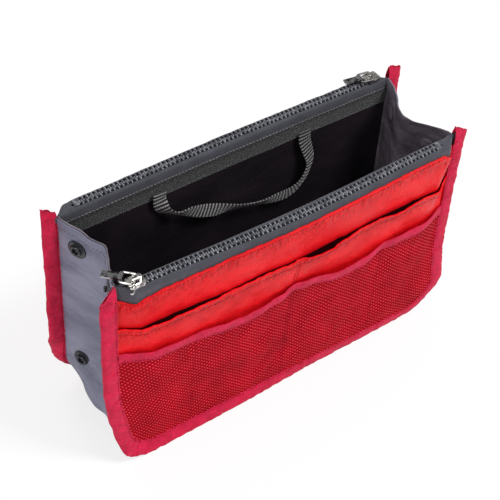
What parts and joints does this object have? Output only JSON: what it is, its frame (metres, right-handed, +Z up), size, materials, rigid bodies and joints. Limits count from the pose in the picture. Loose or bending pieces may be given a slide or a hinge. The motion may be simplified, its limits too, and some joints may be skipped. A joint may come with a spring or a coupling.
{
  "type": "purse organizer insert",
  "caption": "Open-topped fabric insert for a handbag: two zipped pocket panels with slip and mesh pockets, joined by a fold-in gusset with snaps, and two webbing handles.",
  "frame": {"origin": "middle of the base, on the surface that the insert stands on", "axes": "+X along the panels, +Y towards the back panel, +Z up"},
  "size_m": [0.28, 0.0886, 0.178],
  "materials": {
    "red_nylon": "satin nylon, fine weave",
    "crimson_tape": "ribbed binding tape",
    "red_mesh": "fine knitted mesh over red cloth",
    "grey_nylon": "plain nylon",
    "black_lining": "thin satin lining",
    "zip_tape": "woven zip tape",
    "zip_teeth": "moulded teeth",
    "chrome": "polished",
    "woven_band": "woven heather band",
    "webbing": "ribbed webbing",
    "snap_plastic": "moulded snap"
  },
  "bodies": {
    "back_panel": {"back_outer_wall": "red_nylon", "back_slip_pocket": "red_nylon", "back_mesh_pocket": "red_mesh", "back_mesh_tape": "crimson_tape", "back_inner_wall": "black_lining", "back_inner_band": "woven_band", "back_zip_tape_outer": "zip_tape", "back_zip_tape_inner": "zip_tape", "back_zip_teeth_outer": "zip_teeth", "back_zip_teeth_inner": "zip_teeth", "back_zip_stop": "zip_teeth", "back_binding": "crimson_tape", "left_corner_back": "grey_nylon", "right_corner_back": "grey_nylon"},
    "front_panel": {"front_outer_wall": "red_nylon", "front_slip_pocket": "red_nylon", "front_mesh_pocket": "red_mesh", "front_mesh_tape": "crimson_tape", "front_inner_wall": "black_lining", "front_inner_band": "woven_band", "front_zip_tape_outer": "zip_tape", "front_zip_tape_inner": "zip_tape", "front_zip_teeth_outer": "zip_teeth", "front_zip_teeth_inner": "zip_teeth", "front_zip_stop": "zip_teeth", "front_binding": "crimson_tape", "left_corner_front": "grey_nylon", "right_corner_front": "grey_nylon"},
    "left_gusset_back": {"left_gusset_back_cloth": "grey_nylon", "left_gusset_back_lining": "black_lining", "left_gusset_back_lower_snap_socket": "snap_plastic", "left_gusset_back_upper_snap_socket": "snap_plastic"},
    "left_gusset_front": {"left_gusset_front_cloth": "grey_nylon", "left_gusset_front_lining": "black_lining", "left_gusset_front_lower_snap_stud": "snap_plastic", "left_gusset_front_upper_snap_stud": "snap_plastic"},
    "right_gusset_back": {"right_gusset_back_cloth": "grey_nylon", "right_gusset_back_lining": "black_lining", "right_gusset_back_lower_snap_socket": "snap_plastic", "right_gusset_back_upper_snap_socket": "snap_plastic"},
    "right_gusset_front": {"right_gusset_front_cloth": "grey_nylon", "right_gusset_front_lining": "black_lining", "right_gusset_front_lower_snap_stud": "snap_plastic", "right_gusset_front_upper_snap_stud": "snap_plastic"},
    "base_back": {"base_back_cloth": "grey_nylon", "base_back_lining": "black_lining"},
    "base_front": {"base_front_cloth": "grey_nylon", "base_front_lining": "black_lining"},
    "front_slider": {"front_slider_body": "chrome"},
    "front_link": {"front_pull_link": "chrome"},
    "front_tab": {"front_pull_tab": "chrome"},
    "front_handle": {"front_handle": "webbing"},
    "back_slider": {"back_slider_body": "chrome"},
    "back_link": {"back_pull_link": "chrome"},
    "back_tab": {"back_pull_tab": "chrome"},
    "back_handle": {"back_handle": "webbing"}
  },
  "joints": [
    {"name": "fold", "type": "hinge", "parent": "back_panel", "child": "left_gusset_back", "pos_m": [-0.129, 0.031, 0.1], "axis": [0, 0, 1], "range_deg": [0, 57.75], "deforming": ["left_corner_back", "right_corner_back", "left_corner_front", "right_corner_front"]},
    {"name": "left_crease", "type": "hinge", "parent": "left_gusset_back", "child": "left_gusset_front", "pos_m": [-0.11504, 0, 0.1], "axis": [0, 0, 1], "range_deg": [-115.6, 0]},
    {"name": "left_front_seam", "type": "hinge", "parent": "left_gusset_front", "child": "front_panel", "pos_m": [-0.129, -0.031, 0.1], "axis": [0, 0, 1], "range_deg": [0, 57.8]},
    {"name": "right_back_seam", "type": "hinge", "parent": "back_panel", "child": "right_gusset_back", "pos_m": [0.129, 0.031, 0.1], "axis": [0, 0, 1], "range_deg": [-57.8, 0]},
    {"name": "right_crease", "type": "hinge", "parent": "right_gusset_back", "child": "right_gusset_front", "pos_m": [0.11504, 0, 0.1], "axis": [0, 0, 1], "range_deg": [0, 115.6]},
    {"name": "base_back_seam", "type": "hinge", "parent": "back_panel", "child": "base_back", "pos_m": [0, 0.031, 0.011], "axis": [1, 0, 0], "range_deg": [-57.8, 0]},
    {"name": "base_crease", "type": "hinge", "parent": "base_back", "child": "base_front", "pos_m": [0, 0, 0.02496], "axis": [1, 0, 0], "range_deg": [0, 115.6]},
    {"name": "front_zip_slide", "type": "slide", "parent": "front_panel", "child": "front_slider", "axis": [1, 0, 0], "range_m": [0, 0.2225], "deforming": ["front_zip_teeth_outer", "front_zip_teeth_inner"]},
    {"name": "front_link_swing", "type": "hinge", "parent": "front_slider", "child": "front_link", "pos_m": [-0.117, -0.0382, 0.17595], "axis": [0.7071, 0.7071, 0], "range_deg": [0, 120]},
    {"name": "front_tab_swing", "type": "hinge", "parent": "front_link", "child": "front_tab", "pos_m": [-0.12336, -0.03184, 0.17595], "axis": [0.7071, 0.7071, 0], "range_deg": [0, 90]},
    {"name": "front_handle_swing", "type": "hinge", "parent": "front_panel", "child": "front_handle", "pos_m": [0, -0.032, 0.1522], "axis": [1, 0, 0], "range_deg": [0, 172]},
    {"name": "back_zip_slide", "type": "slide", "parent": "back_panel", "child": "back_slider", "axis": [-1, 0, 0], "range_m": [0, 0.2225], "deforming": ["back_zip_teeth_outer", "back_zip_teeth_inner"]},
    {"name": "back_link_swing", "type": "hinge", "parent": "back_slider", "child": "back_link", "pos_m": [0.117, 0.0382, 0.17595], "axis": [0.1564, 0.9877, 0], "range_deg": [0, 120]},
    {"name": "back_tab_swing", "type": "hinge", "parent": "back_link", "child": "back_tab", "pos_m": [0.10811, 0.03961, 0.17595], "axis": [0.1564, 0.9877, 0], "range_deg": [0, 90]},
    {"name": "back_handle_swing", "type": "hinge", "parent": "back_panel", "child": "back_handle", "pos_m": [0, 0.032, 0.1522], "axis": [-1, 0, 0], "range_deg": [0, 172]}
  ],
  "couplings": [
    {"joint": "left_crease", "follows": "fold", "ratio": -2},
    {"joint": "left_front_seam", "follows": "fold", "ratio": 1},
    {"joint": "right_back_seam", "follows": "fold", "ratio": -1},
    {"joint": "right_crease", "follows": "fold", "ratio": 2},
    {"joint": "base_back_seam", "follows": "fold", "ratio": -1},
    {"joint": "base_crease", "follows": "fold", "ratio": 2}
  ]
}
